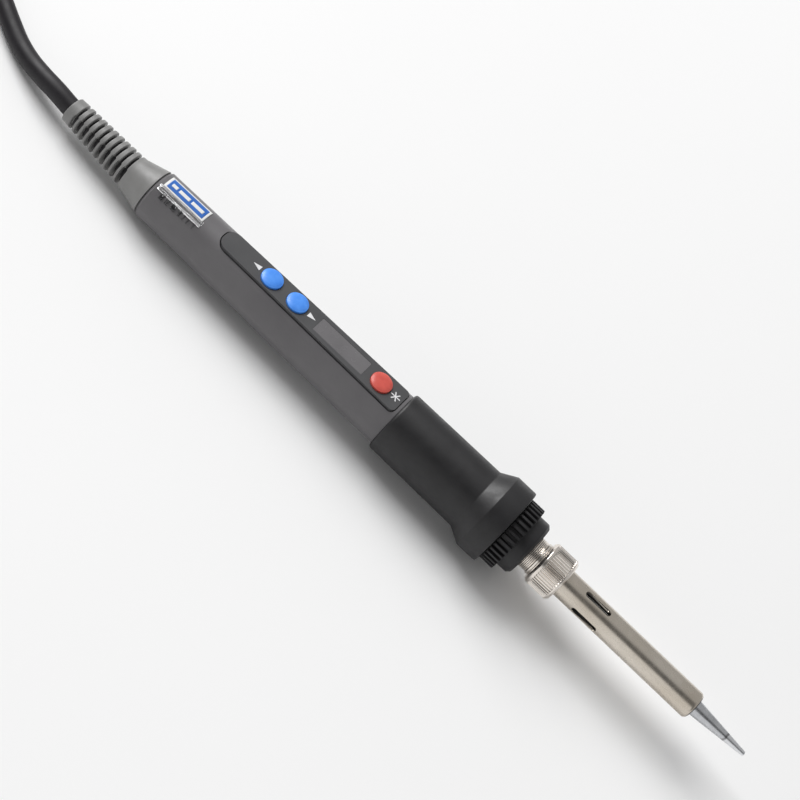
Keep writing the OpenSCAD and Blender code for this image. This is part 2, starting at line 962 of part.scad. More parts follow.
// The folded lead as one block of its outer shape
module lead_hank() {
    r = hank_fold_r + cord_r;
    straight = hank_len - 2 * r;
    color("#2b282e")
        translate([cord_exit[0] + hank_x - r, hank_y, 0])
            linear_extrude(height = hank_h) {
                circle(r = r);
                translate([-straight, 0])
                    circle(r = r);
                translate([-straight, -r])
                    square([straight, 2 * r]);
            }
}

// Strap round the runs on one side of the hank
module hank_tie() {
    outer = hank_y - hank_fold_r - cord_r - tie_t;
    width = 3 * cord_d + 2 * tie_t;
    x = cord_exit[0] + hank_x - hank_len / 2 - tie_w / 2;
    color("#1b1b1d")
        difference() {
            block([x, outer, 0], [x + tie_w, outer + width, hank_h + tie_t]);
            block(
                [x - 1, outer + tie_t, tie_t],
                [x + tie_w + 1, outer + width - tie_t, hank_h]
            );
        }
}

module plug_body() {
    color("#222024")
        translate([plug_x, plug_y, 0])
            difference() {
                union() {
                    rotate_extrude()
                        polygon([
                            [0, 0], [plug_r - plug_edge, 0], [plug_r, plug_edge],
                            [plug_r, plug_t - plug_edge], [plug_r - plug_edge, plug_t],
                            [0, plug_t]
                        ]);
                    translate([plug_r - relief_overlap, 0, plug_z])
                        rotate([0, 90, 0])
                            cylinder(h = plug_relief_len, r1 = relief_root_r, r2 = relief_end_r);
                }
                translate([earth_hole_x, 0, plug_t - earth_hole_depth])
                    cylinder(h = earth_hole_depth + 1, r = earth_hole_r);
                for (turn = [0, 180])
                    rotate([0, 0, turn])
                        block(
                            [clip_slot_r, -clip_slot_w / 2, plug_t - clip_slot_len],
                            [plug_r + 1, clip_slot_w / 2, plug_t + 1]
                        );
            }
}

module plug_pins() {
    color("#c9c4b8")
        for (side = [-1, 1])
            translate([plug_x, plug_y + side * pin_spacing / 2, plug_t])
                rotate_extrude()
                    polygon([
                        [0, 0], [pin_r, 0], [pin_r, pin_len - 1.6], [pin_r - 1, pin_len - 0.3],
                        [pin_r - 1.8, pin_len], [0, pin_len]
                    ]);
}

module plug_earth_clips() {
    clip_w = 4.4;
    clip_t = 1;
    foot_gap = 0.1;
    top_gap = 0.2;
    color("#c9c4b8")
        translate([plug_x, plug_y, 0])
            for (turn = [0, 180])
                rotate([0, 0, turn])
                    block(
                        [clip_slot_r, -clip_w / 2, plug_t - clip_slot_len + foot_gap],
                        [clip_slot_r + clip_t, clip_w / 2, plug_t - top_gap]
                    );
}

upper_shell();
lower_shell();
shell_screw();
control_panel();
panel_marks();
display_window();
lcd_glass();
lcd_backlight();
down_button();
up_button();
power_button();
down_plunger();
up_plunger();
power_plunger();
switch_bodies();
circuit_board();
microcontroller();
triac();
filter_capacitor();
trimmer();
mains_wires();
earth_wire();
heater_wires();
cord_boot();
cord_clamp();
cord_end_piece();
rear_label();
grip_sleeve();
nose_cap();
threaded_neck();
heater_base();
heating_element();
barrel_nut();
barrel_tube();
soldering_tip();
mains_lead();
lead_hank();
hank_tie();
plug_lead();
plug_body();
plug_pins();
plug_earth_clips();
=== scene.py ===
"""Looks of a hand-held soldering iron with display, buttons, mains lead and plug.

The iron is drawn in its own frame, in millimetres: X along its axis towards the tip with
0 at the rear of the handle, Z up through the control panel. lay() turns that into the
row frame, in metres. The lead and its plug are drawn in the row frame, in millimetres.
"""
import json
import math

import bmesh
import bpy
from mathutils import Matrix, Vector


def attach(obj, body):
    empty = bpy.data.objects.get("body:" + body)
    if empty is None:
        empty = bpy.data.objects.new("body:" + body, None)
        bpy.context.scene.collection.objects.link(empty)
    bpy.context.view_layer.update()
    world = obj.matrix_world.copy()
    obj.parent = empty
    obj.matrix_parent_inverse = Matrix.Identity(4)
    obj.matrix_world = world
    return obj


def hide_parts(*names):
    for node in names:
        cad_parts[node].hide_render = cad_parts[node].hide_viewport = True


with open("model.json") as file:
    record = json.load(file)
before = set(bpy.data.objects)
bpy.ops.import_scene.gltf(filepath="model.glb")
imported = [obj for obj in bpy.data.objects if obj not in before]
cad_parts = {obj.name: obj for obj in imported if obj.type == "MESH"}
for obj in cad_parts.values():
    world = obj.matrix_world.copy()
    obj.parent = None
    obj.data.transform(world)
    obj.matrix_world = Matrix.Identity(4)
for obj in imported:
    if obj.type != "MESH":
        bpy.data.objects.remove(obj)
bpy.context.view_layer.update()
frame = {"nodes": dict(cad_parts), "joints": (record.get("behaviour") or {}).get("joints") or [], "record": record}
MM = 0.001

# ---------------------------------------------------------------- sizes, as in part.scad
BODY_LEN, BODY_REAR_R, BODY_FRONT_R = 87, 7.35, 8.2
PANEL_Z = 7.505
BUTTON_R, BUTTON_SIDE, BUTTON_CROWN = 3.15, 0.45, 0.55
BUTTON_LOW, BUTTON_FLANGE_TOP, BUTTON_FLANGE_R = 5.705, 6.205, 3.4
DOWN_X, UP_X, POWER_X = 39.3, 48.4, 78.5
SLEEVE_END, COLLAR_X, CAP_X = 117, 121.4, 127.8
SLEEVE_REAR_R, SLEEVE_FRONT_R, COLLAR_R, NOSE_R = 9.25, 9.5, 11.9, 7.3
CAP_RING_R, CAP_RING_END, CAP_END_R, CAP_FRONT = 10.2, 132.4, 8.4, 136.6
NECK_R, NECK_RIM, NECK_FRONT, NOSE_END = 4.85, 0.25, 146.1, 133.0
NUT_X, NUT_R, BARREL_X, BARREL_R, BARREL_FRONT = 140.3, 6.6, 148.5, 4.1, 195.5
TIP_END, TIP_BASE_R, TIP_POINT_R, SHANK_X, SHANK_R = 213.3, 2.35, 0.7, 170, 3.35
BOOT_CONE, BOOT_RIBS, BOOT_FRONT_R, BOOT_REAR_R, BOOT_BEND = 6.8, 24.2, 5.2, 3.85, 4
BOOT_BEND_LEN = 4  # length over which the boot turns to the side
BOOT_GROOVES, GROOVE_W = 10, 0.9
NUT_MIDDLE = 144  # where the nut's joint is, along the iron's axis
CORD_R = 2.8
LEAD_ROUTE = [
    (-6, 2.3, 6.1), (-12, 3.4, 5.1), (-18, 5.2, 3.8), (-24, 7.7, 3.0), (-30, 10.8, 2.8),
    (-36, 14.1, 2.8), (-42, 17.3, 2.8), (-48, 20.2, 2.8), (-54, 22.8, 2.8), (-60, 25, 2.8),
    (-66, 26.6, 2.8), (-72, 27.6, 2.8), (-78, 28, 2.8),
]
PLUG_ROUTE = [
    (-121, 27.6, 8.4), (-127, 25.8, 8.6), (-133, 22.7, 8.9), (-139, 19.1, 9.5),
    (-145, 15.6, 10.1), (-151, 12.9, 10.6), (-156, 11.5, 10.9), (-160, 11, 11),
]
HANK_X, HANK_LEN, HANK_FOLD_R = -52, 94, 28
TIE_T, TIE_W = 0.6, 8
PLUG_R, PLUG_T, PLUG_Y, PLUG_RELIEF = 18.75, 22, 11, 20
RELIEF_OVERLAP = 2  # how far the strain relief reaches into the plug
FACE_DEPTH = 0.5  # the plug's face lies that much below its rim
CLIP_SLOT_W, CLIP_SLOT_LEN, CLIP_SLOT_R = 6.4, 13, 15.15
EARTH_HOLE_X, EARTH_HOLE_R, EARTH_HOLE_DEPTH = -9.5, 2.6, 16
PIN_R, PIN_LEN, PIN_SPACING = 2.4, 19, 19

# ---------------------------------------------------------------- the iron's own frame
joints = {j["name"]: j for j in frame["joints"]}
axis = Vector(joints["nut_turn"]["axis"]).normalized()
origin = Vector(joints["nut_turn"]["pos_m"]) - axis * NUT_MIDDLE * MM
side = Vector((0, 1, 0))
IRON = Matrix.Translation(origin) @ Matrix(
    [(*row,) for row in zip(axis, side, axis.cross(side))]
).to_4x4()


def lay(x, y, z):
    """A point of the iron, in millimetres, as a point of the row frame in metres."""
    return IRON @ Vector((x * MM, y * MM, z * MM))


def bent(x, y, z):
    """A point of the boot, turned to the side behind the cone."""
    over = min(1, max(0, (-BOOT_CONE - x) / BOOT_BEND_LEN))
    turn = math.radians(BOOT_BEND) * over
    dx = x + BOOT_CONE
    return (-BOOT_CONE + dx * math.cos(turn) + y * math.sin(turn),
            y * math.cos(turn) - dx * math.sin(turn), z)


boot_turn = math.radians(BOOT_BEND)
cord_exit = lay(-BOOT_CONE - BOOT_RIBS * math.cos(boot_turn),
                BOOT_RIBS * math.sin(boot_turn), 0)
PLUG_X = cord_exit.x / MM + PLUG_ROUTE[-1][0] - PLUG_RELIEF - PLUG_R + RELIEF_OVERLAP


# ---------------------------------------------------------------- camera
def add_camera():
    """The photograph's camera, as fitted to it in the iron's frame."""
    right = Vector((0.724458, 0.532869, 0.437277))
    down = Vector((0.688452, -0.527517, -0.497755))
    ahead = Vector((-0.034567, 0.661647, -0.749018))
    place = lay(104.41, -370.07, 426.75)
    sensor, focal_px, picture_px = 36, 2156.96, 800
    data = bpy.data.cameras.new("camera")
    data.sensor_width = sensor
    data.lens = sensor * focal_px / picture_px
    data.clip_start = 0.01
    camera = bpy.data.objects.new("camera", data)
    turn = IRON.to_3x3() @ Matrix([(*row,) for row in zip(right, -down, -ahead)])
    camera.matrix_world = Matrix.Translation(place) @ turn.to_4x4()
    bpy.context.scene.collection.objects.link(camera)
    bpy.context.scene.camera = camera


add_camera()


# ---------------------------------------------------------------- materials
class Paint:
    """A procedural material on a Principled shader, built up call by call."""

    def __init__(self, name, color, roughness, **sockets):
        self.material = bpy.data.materials.new(name)
        self.material.use_nodes = True
        self.nodes = self.material.node_tree.nodes
        self.links = self.material.node_tree.links
        self.shader = self.nodes["Principled BSDF"]
        self.shader.inputs["Base Color"].default_value = (*color, 1)
        self.shader.inputs["Roughness"].default_value = roughness
        for socket, value in sockets.items():
            self.shader.inputs[socket.replace("_", " ")].default_value = value
        self.place = self.nodes.new("ShaderNodeTexCoord").outputs["Object"]

    def noise(self, scale, detail=4, stretch=(1, 1, 1), kind="Noise"):
        """A noise value over the surface; scale is in features per metre."""
        spread = self.nodes.new("ShaderNodeMapping")
        spread.inputs["Scale"].default_value = stretch
        self.links.new(self.place, spread.inputs["Vector"])
        texture = self.nodes.new(f"ShaderNodeTex{kind}")
        texture.inputs["Scale"].default_value = scale
        if "Detail" in texture.inputs:
            texture.inputs["Detail"].default_value = detail
        self.links.new(spread.outputs["Vector"], texture.inputs["Vector"])
        return texture.outputs["Distance" if kind == "Voronoi" else 0]

    def ramp(self, value, low, high, start=0.3, end=0.7):
        """Maps value from start..end to the colours low..high."""
        ramp = self.nodes.new("ShaderNodeValToRGB")
        ramp.color_ramp.elements[0].position = start
        ramp.color_ramp.elements[1].position = end
        ramp.color_ramp.elements[0].color = (*low, 1)
        ramp.color_ramp.elements[1].color = (*high, 1)
        self.links.new(value, ramp.inputs["Fac"])
        return ramp.outputs["Color"]

    def color(self, low, high, scale, detail=4, stretch=(1, 1, 1), start=0.3, end=0.7):
        """Colour that varies over the surface between low and high."""
        value = self.noise(scale, detail, stretch)
        self.links.new(self.ramp(value, low, high, start, end),
                       self.shader.inputs["Base Color"])
        return self

    def alpha(self, low, high, scale, stretch, start, end):
        """See-through in places, where the noise is low."""
        spread = self.nodes.new("ShaderNodeMapRange")
        spread.inputs["From Min"].default_value = start
        spread.inputs["From Max"].default_value = end
        spread.inputs["To Min"].default_value = low
        spread.inputs["To Max"].default_value = high
        self.links.new(self.noise(scale, 2, stretch), spread.inputs["Value"])
        self.links.new(spread.outputs["Result"], self.shader.inputs["Alpha"])
        return self

    def beyond(self, x, color, wave):
        """Another colour from that X of the row frame on, with a wavy border, in metres."""
        split = self.nodes.new("ShaderNodeSeparateXYZ")
        self.links.new(self.place, split.inputs["Vector"])
        shift = self.nodes.new("ShaderNodeMath")
        shift.operation = "MULTIPLY_ADD"
        shift.inputs[1].default_value = wave
        self.links.new(self.noise(450, 2), shift.inputs[0])
        self.links.new(split.outputs["X"], shift.inputs[2])
        spread = self.nodes.new("ShaderNodeMapRange")
        spread.inputs["From Min"].default_value = x + wave / 2
        spread.inputs["From Max"].default_value = x + wave / 2 + 0.0003
        self.links.new(shift.outputs["Value"], spread.inputs["Value"])
        mix = self.nodes.new("ShaderNodeMix")
        mix.data_type = "RGBA"
        base = self.shader.inputs["Base Color"]
        self.links.new(spread.outputs["Result"], mix.inputs[0])
        self.links.new(base.links[0].from_socket, mix.inputs[6])
        mix.inputs[7].default_value = (*color, 1)
        self.links.new(mix.outputs[2], base)
        return self

    def rough(self, low, high, scale, detail=4, stretch=(1, 1, 1)):
        """Roughness that varies over the surface between low and high."""
        spread = self.nodes.new("ShaderNodeMapRange")
        spread.inputs["From Min"].default_value = 0.3
        spread.inputs["From Max"].default_value = 0.7
        spread.inputs["To Min"].default_value = low
        spread.inputs["To Max"].default_value = high
        self.links.new(self.noise(scale, detail, stretch), spread.inputs["Value"])
        self.links.new(spread.outputs["Result"], self.shader.inputs["Roughness"])
        return self

    def bump(self, scale, depth, detail=4, stretch=(1, 1, 1), kind="Noise", strength=1):
        """Fine relief; depth is in metres."""
        bump = self.nodes.new("ShaderNodeBump")
        bump.inputs["Strength"].default_value = strength
        bump.inputs["Distance"].default_value = depth
        self.links.new(self.noise(scale, detail, stretch, kind), bump.inputs["Height"])
        before = self.shader.inputs["Normal"]
        if before.is_linked:
            self.links.new(before.links[0].from_socket, bump.inputs["Normal"])
        self.links.new(bump.outputs["Normal"], before)
        return self


handle_paint = (
    Paint("handle_grey", (0.138, 0.133, 0.138), 0.42)
    .color((0.128, 0.123, 0.129), (0.148, 0.143, 0.148), 90)
    .rough(0.36, 0.46, 260)
    .bump(5200, 0.00003, 2)
)
panel_paint = (
    Paint("panel_grey", (0.068, 0.068, 0.071), 0.4)
    .color((0.063, 0.063, 0.066), (0.074, 0.074, 0.077), 120)
    .rough(0.36, 0.46, 300)
    .bump(6500, 0.000015, 2)
)
grip_paint = (
    Paint("grip_rubber", (0.011, 0.0105, 0.012), 0.46, Specular_IOR_Level=0.5)
    .color((0.009, 0.0085, 0.0095), (0.014, 0.0135, 0.015), 150)
    .rough(0.4, 0.52, 400)
    .bump(7000, 0.00002, 2)
)
cap_paint = (
    Paint("cap_black", (0.012, 0.0115, 0.013), 0.45, Specular_IOR_Level=0.45)
    .color((0.01, 0.0095, 0.011), (0.016, 0.0155, 0.017), 220)
    .rough(0.38, 0.52, 600)
    .bump(6000, 0.00001, 2)
)
boot_paint = (
    Paint("boot_grey", (0.235, 0.233, 0.229), 0.4)
    .color((0.21, 0.208, 0.204), (0.26, 0.258, 0.254), 180)
    .rough(0.34, 0.48, 500)
    .bump(5200, 0.00002, 2)
)
# the lead's own black, also used as painted shade on the floors of the boot's top grooves
lead_and_groove_shade_paint = (
    Paint("lead_black", (0.012, 0.0105, 0.013), 0.5, Specular_IOR_Level=0.35)
    .color((0.01, 0.0088, 0.011), (0.016, 0.0142, 0.017), 90)
    .rough(0.44, 0.56, 240)
    .bump(2600, 0.00001, 3)
)
blue_paint = (
    Paint("button_blue", (0.07, 0.29, 0.9), 0.28)
    .color((0.05, 0.25, 0.84), (0.09, 0.33, 0.95), 500)
    .rough(0.28, 0.38, 800)
    .bump(7000, 0.00001, 2)
)
red_paint = (
    Paint("button_red", (0.62, 0.09, 0.07), 0.3)
    .color((0.58, 0.08, 0.062), (0.68, 0.105, 0.08), 500)
    .rough(0.28, 0.38, 800)
    .bump(7000, 0.00001, 2)
)
window_paint = (
    Paint("window_grey", (0.145, 0.14, 0.145), 0.22, Coat_Weight=0.3, Coat_Roughness=0.1)
    .color((0.135, 0.13, 0.135), (0.158, 0.152, 0.158), 160)
    .rough(0.2, 0.3, 400)
)
mark_paint = Paint("mark_white", (0.8, 0.8, 0.8), 0.5).color(
    (0.74, 0.74, 0.75), (0.84, 0.84, 0.85), 900)
nickel_paint = (
    Paint("nickel", (0.86, 0.80, 0.74), 0.22, Metallic=1.0)
    .color((0.80, 0.735, 0.67), (0.90, 0.85, 0.79), 300, 5)
    .rough(0.16, 0.28, 700)
)
barrel_paint = (
    Paint("barrel_steel", (0.66, 0.6, 0.52), 0.28, Metallic=1.0)
    .color((0.57, 0.505, 0.42), (0.72, 0.67, 0.6), 55, 5, (0.7, 1, 1))
    .rough(0.22, 0.32, 500, 3)
    .bump(900, 0.0000008, 2)
)
tip_paint = (
    Paint("tip_plating", (0.6, 0.61, 0.63), 0.26, Metallic=1.0)
    .color((0.52, 0.53, 0.55), (0.66, 0.67, 0.69), 350, 5)
    .beyond(lay(206.0, 0, 0).x, (0.3, 0.3, 0.31), 0.0016)
    .beyond(lay(206.7, 0, 0).x, (0.78, 0.79, 0.81), 0.0016)
    .rough(0.2, 0.34, 900)
    .bump(1500, 0.000004, 4)
)
inside_paint = (
    Paint("barrel_inside", (0.03, 0.027, 0.024), 0.6)
    .color((0.02, 0.018, 0.016), (0.045, 0.04, 0.035), 400)
    .rough(0.5, 0.7, 700)
)
pin_paint = (
    Paint("pin_metal", (0.76, 0.74, 0.70), 0.22, Metallic=1.0)
    .color((0.70, 0.68, 0.64), (0.80, 0.78, 0.74), 200)
    .rough(0.18, 0.3, 600)
)
plug_paint = (
    Paint("plug_black", (0.02, 0.019, 0.021), 0.45)
    .color((0.016, 0.015, 0.017), (0.027, 0.026, 0.028), 120)
    .rough(0.4, 0.52, 300)
    .bump(4200, 0.00003, 2)
)
tie_paint = (
    Paint("tie_black", (0.015, 0.015, 0.016), 0.5)
    .color((0.012, 0.012, 0.013), (0.02, 0.02, 0.021), 200)
    .rough(0.45, 0.6, 500)
    .bump(3000, 0.00003, 2, kind="Voronoi")
)
label_paint = (
    Paint("label_blue", (0.015, 0.13, 0.5), 0.3, Coat_Weight=0.5, Coat_Roughness=0.08)
    .color((0.012, 0.115, 0.46), (0.02, 0.15, 0.55), 300)
)
label_white_paint = Paint("label_white", (0.8, 0.8, 0.79), 0.4).color(
    (0.76, 0.76, 0.75), (0.84, 0.84, 0.83), 700)
film_paint = Paint("label_film", (0.95, 0.95, 0.96), 0.16, Metallic=1.0).alpha(
    0.12, 0.95, 1500, (0.03, 1, 1), 0.42, 0.56)
# dark streaks on a clear strip below the film: painted shadow under the film's lifted folds
fold_shadow_paint = Paint("label_fold_shadows", (0.02, 0.02, 0.022), 0.2, Coat_Weight=0.8).alpha(
    0.02, 0.8, 900, (1, 0.1, 0.1), 0.46, 0.62)

PAINT = {
    "handle_grey": handle_paint, "panel_grey": panel_paint, "grip_rubber": grip_paint,
    "cap_black": cap_paint, "boot_grey": boot_paint, "lead_black": lead_and_groove_shade_paint,
    "button_blue": blue_paint, "button_red": red_paint, "window_grey": window_paint,
    "mark_white": mark_paint, "nickel": nickel_paint, "barrel_steel": barrel_paint,
    "tip_plating": tip_paint, "pin_metal": pin_paint, "plug_black": plug_paint,
    "tie_black": tie_paint, "label_blue": label_paint,
}


def plain_paints():
    """Materials of the pieces inside the handle, from the record's colours."""
    for entry in frame["record"]["materials"]:
        if entry["slot"] in PAINT:
            continue
        color = entry["base_color"][:3]
        metal = entry["class"] in ("chrome", "brushed_steel")
        PAINT[entry["slot"]] = (
            Paint(entry["slot"], color, 0.5, Metallic=1.0 if metal else 0.0)
            .color([c * 0.88 for c in color], [min(1, c * 1.08) for c in color], 400)
            .rough(0.38, 0.6, 700)
            .bump(4000, 0.00001, 2)
        )


plain_paints()
slot_of = {s["node"]: s["material_slot"] for s in frame["record"]["subparts"]}
for name, obj in frame["nodes"].items():
    obj.data.materials.clear()
    obj.data.materials.append(PAINT[slot_of[name]].material)

EDGE_WIDTHS = {
    "upper_shell": 0.12, "lower_shell": 0.12, "control_panel": 0.12, "display_window": 0.12,
    "barrel_tube": 0.05,
}
for name, width in EDGE_WIDTHS.items():
    edges = frame["nodes"][name].modifiers.new("soft edges", "BEVEL")
    edges.width = width * MM
    edges.segments = 2
    edges.limit_method = "ANGLE"
    edges.angle_limit = math.radians(35)

# the barrel's inner wall is dark from heat
tube = frame["nodes"]["barrel_tube"]
tube.data.materials.append(inside_paint.material)
to_iron = IRON.inverted() @ tube.matrix_world
wall_middle = (BARREL_R - 0.3) * MM
for face in tube.data.polygons:
    face.material_index = int((to_iron @ face.center).yz.length < wall_middle)


# ---------------------------------------------------------------- mesh helpers
def to_mesh(name, bm):
    mesh = bpy.data.meshes.new(name)
    bm.to_mesh(mesh)
    bm.free()
    return mesh


def finish_mesh(name, mesh, body, slot, sharp=40, paint=None):
    """Makes the mesh an object on that body, with that slot's material or another paint."""
    mesh.polygons.foreach_set("use_smooth", [True] * len(mesh.polygons))
    mesh.set_sharp_from_angle(angle=math.radians(sharp))
    mesh.materials.append((paint or PAINT[slot]).material)
    obj = bpy.data.objects.new(name, mesh)
    bpy.context.scene.collection.objects.link(obj)
    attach(obj, body)
    return obj


def fillets(points, steps=5):
    """Rounds the corners of a profile; points are (x, r) or (x, r, fillet radius)."""
    out = []
    for i, point in enumerate(points):
        here = Vector(point[:2])
        if len(point) < 3 or i in (0, len(points) - 1):
            out.append(here)
            continue
        to_last = Vector(points[i - 1][:2]) - here
        to_next = Vector(points[i + 1][:2]) - here
        half = to_last.angle(to_next) / 2
        back = min(point[2] / math.tan(half), to_last.length * 0.49, to_next.length * 0.49)
        radius = back * math.tan(half)
        a = here + to_last.normalized() * back
        b = here + to_next.normalized() * back
        centre = here + (a + b - 2 * here).normalized() * (radius / math.sin(half))
        sweep = (a - centre).angle(b - centre)
        for s in range(steps + 1):
            t = s / steps
            mix = ((a - centre) * math.sin((1 - t) * sweep)
                   + (b - centre) * math.sin(t * sweep)) / max(math.sin(sweep), 1e-9)
            out.append(centre + mix)
    return [(p.x, p.y) for p in out]


def turned(name, profile, body, slot, around=96, place=lay, bend=None, relief=None, sharp=40,
           deep=None):
    """A turned piece. profile is a list of (x, r); relief(x, r, angle) is taken off r.

    deep is (depth, paint): where the relief is deeper than that, the face gets that paint.
    """
    bm = bmesh.new()
    rings = []
    sunk = set()
    for x, r in profile:
        if r < 1e-6:
            rings.append([bm.verts.new(place(x, 0, 0))])
            continue
        ring = []
        for k in range(around):
            angle = 2 * math.pi * k / around
            off = relief(x, r, angle) if relief else 0
            reach = r - off
            point = (x, reach * math.sin(angle), reach * math.cos(angle))
            ring.append(bm.verts.new(place(*(bend(*point) if bend else point))))
            if deep and off > deep[0]:
                sunk.add(ring[-1])
        rings.append(ring)
    for one, two in zip(rings, rings[1:]):
        for k in range(around):
            n = (k + 1) % around
            corners = [one[k % len(one)], one[n % len(one)], two[n % len(two)],
                       two[k % len(two)]]
            unique = list(dict.fromkeys(corners))
            if len(unique) > 2:
                face = bm.faces.new(unique)
                face.material_index = 1 if sunk.issuperset(unique) else 0
    bmesh.ops.recalc_face_normals(bm, faces=bm.faces)
    piece = finish_mesh(name, to_mesh(name, bm), body, slot, sharp)
    if deep:
        piece.data.materials.append(deep[1].material)
    return piece


def axial_grooves(count, depth, width, slope, start, end, low_r):
    """Relief of grooves along the axis, from start to end, on what is wider than low_r."""
    def relief(x, r, angle):
        if r < low_r or not start < x < end:
            return 0
        phase = abs((angle * count / (2 * math.pi)) % 1 - 0.5) * 2
        return depth * min(1, max(0, (width - phase) / slope))
    return relief


def stations(profile, step):
    """Adds points so that no step along the profile is longer than step."""
    out = [profile[0]]
    for a, b in zip(profile, profile[1:]):
        n = max(1, math.ceil(math.dist(a, b) / step))
        out += [(a[0] + (b[0] - a[0]) * i / n, a[1] + (b[1] - a[1]) * i / n)
                for i in range(1, n + 1)]
    return out


# ---------------------------------------------------------------- the lead
def hank_points():
    """Turns of the hank, from the run that comes in to the run that goes out.

    Five turns in two layers: the lower layer winds inwards, the upper one outwards. A
    turn moves to the next place in a fold about a shifted centre, and the innermost turn
    climbs to the upper layer towards the end of its second run.
    """
    outer, middle, inner = HANK_FOLD_R, HANK_FOLD_R - 2 * CORD_R, HANK_FOLD_R - 4 * CORD_R
    end_r = HANK_FOLD_R + CORD_R
    near, far = HANK_X - end_r, HANK_X - HANK_LEN + end_r
    low, high = CORD_R, 3 * CORD_R
    climb = 60  # length over which the innermost turn changes layers
    hump = 12  # half the length over which the runs rise over the tie
    # place on the +Y side, on the -Y side and on the next +Y side, and the two heights
    turns = [
        (outer, outer, middle, low, low), (middle, middle, inner, low, low),
        (inner, inner, inner, low, high), (inner, middle, middle, high, high),
        (middle, outer, outer, high, high),
    ]
    points = []

    def rise(run, a, b):
        return a + (b - a) * (0.5 - 0.5 * math.cos(math.pi * min(1, max(0, run))))

    def lift(x):
        return TIE_T * math.exp(-((x - (near + far) / 2) / hump) ** 2)

    for start, back, end, z0, z1 in turns:
        for x in (near, (2 * near + far) / 3, (near + 2 * far) / 3):
            points.append((x, start, z0))
        r, centre = (start + back) / 2, (start - back) / 2
        points += [(far - r * math.sin(math.radians(a)),
                    centre + r * math.cos(math.radians(a)), z0) for a in range(0, 180, 18)]
        for i in range(5):
            x = far + (near - far) * i / 5
            points.append((x, -back, rise((x - near + climb / 2) / climb, z0, z1) + lift(x)))
        r, centre = (end + back) / 2, (end - back) / 2
        points += [(near + r * math.sin(math.radians(a)),
                    centre - r * math.cos(math.radians(a)),
                    rise((climb / 2 + r * math.radians(a)) / climb, z0, z1))
                   for a in range(0, 180, 18)]
    points += [(near, outer, high), ((near + far) / 2, outer, high), (far, outer, high)]
    return points


def lead_line():
    """All points of the lead in the row frame, in metres."""
    route = LEAD_ROUTE + hank_points() + PLUG_ROUTE
    return [cord_exit.copy()] + [
        Vector((cord_exit.x + x * MM, y * MM, z * MM)) for x, y, z in route]


def add_lead():
    line = lead_line()
    data = bpy.data.curves.new("mains_lead_skin", "CURVE")
    data.dimensions = "3D"
    data.bevel_depth = CORD_R * MM
    data.bevel_resolution = 6
    data.resolution_u = 4
    data.use_fill_caps = True
    spline = data.splines.new("BEZIER")
    spline.bezier_points.add(len(line) - 1)
    for i, (knot, point) in enumerate(zip(spline.bezier_points, line)):
        last, after = line[max(i - 1, 0)], line[min(i + 1, len(line) - 1)]
        a, b = point - last, after - point
        if a.length == 0:
            tangent = lay(-12, 1.9, 0) - lay(0, 1.06, 0)  # as the boot's end points
        elif b.length == 0:
            tangent = Vector((-1, 0, 0))
        else:
            tangent = a / a.length * b.length + b / b.length * a.length
        tangent = tangent.normalized()
        knot.handle_left_type = knot.handle_right_type = "FREE"
        knot.co = point
        knot.handle_left = point - tangent * a.length / 3
        knot.handle_right = point + tangent * b.length / 3
    data.materials.append(lead_and_groove_shade_paint.material)
    lead = bpy.data.objects.new("mains_lead_skin", data)
    bpy.context.scene.collection.objects.link(lead)
    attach(lead, "handle")
    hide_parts("mains_lead", "lead_hank", "plug_lead")
    return lead


lead = add_lead()


def on_floor(x, y, z):
    return Vector((x * MM, y * MM, z * MM))


def add_tie():
    """Strap round the runs on the hank's -Y side."""
    x = cord_exit.x / MM + HANK_X - HANK_LEN / 2
    low = -(HANK_FOLD_R + CORD_R + TIE_T)
    high = low + 6 * CORD_R + 2 * TIE_T
    top = 4 * CORD_R + 2 * TIE_T
    corner = 2.4
    loop = []
    for cy, cz, a0 in ((high - corner, top - corner, 0), (low + corner, top - corner, 90),
                       (low + corner, corner, 180), (high - corner, corner, 270)):
        loop += [(cy + corner * math.cos(math.radians(a0 + a)),
                  cz + corner * math.sin(math.radians(a0 + a)),
                  math.cos(math.radians(a0 + a)), math.sin(math.radians(a0 + a)))
                 for a in range(0, 91, 15)]
    bm = bmesh.new()
    edge, bevel, bevel_w = TIE_W / 2, 0.12, 0.25
    across = [(-edge, bevel), (-edge + bevel_w, 0), (edge - bevel_w, 0), (edge, bevel),
              (edge, TIE_T - bevel), (-edge, TIE_T - bevel)]
    rings = [[bm.verts.new(on_floor(x + dx, y - ny * inset, z - nz * inset))
              for dx, inset in across] for y, z, ny, nz in loop]
    for i, ring in enumerate(rings):
        after = rings[(i + 1) % len(rings)]
        for k in range(len(across)):
            n = (k + 1) % len(across)
            bm.faces.new([ring[k], ring[n], after[n], after[k]])
    bmesh.ops.recalc_face_normals(bm, faces=bm.faces)
    strap = finish_mesh("hank_strap", to_mesh("hank_strap", bm), "handle", "tie_black")
    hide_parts("hank_tie")
    return strap


tie = add_tie()


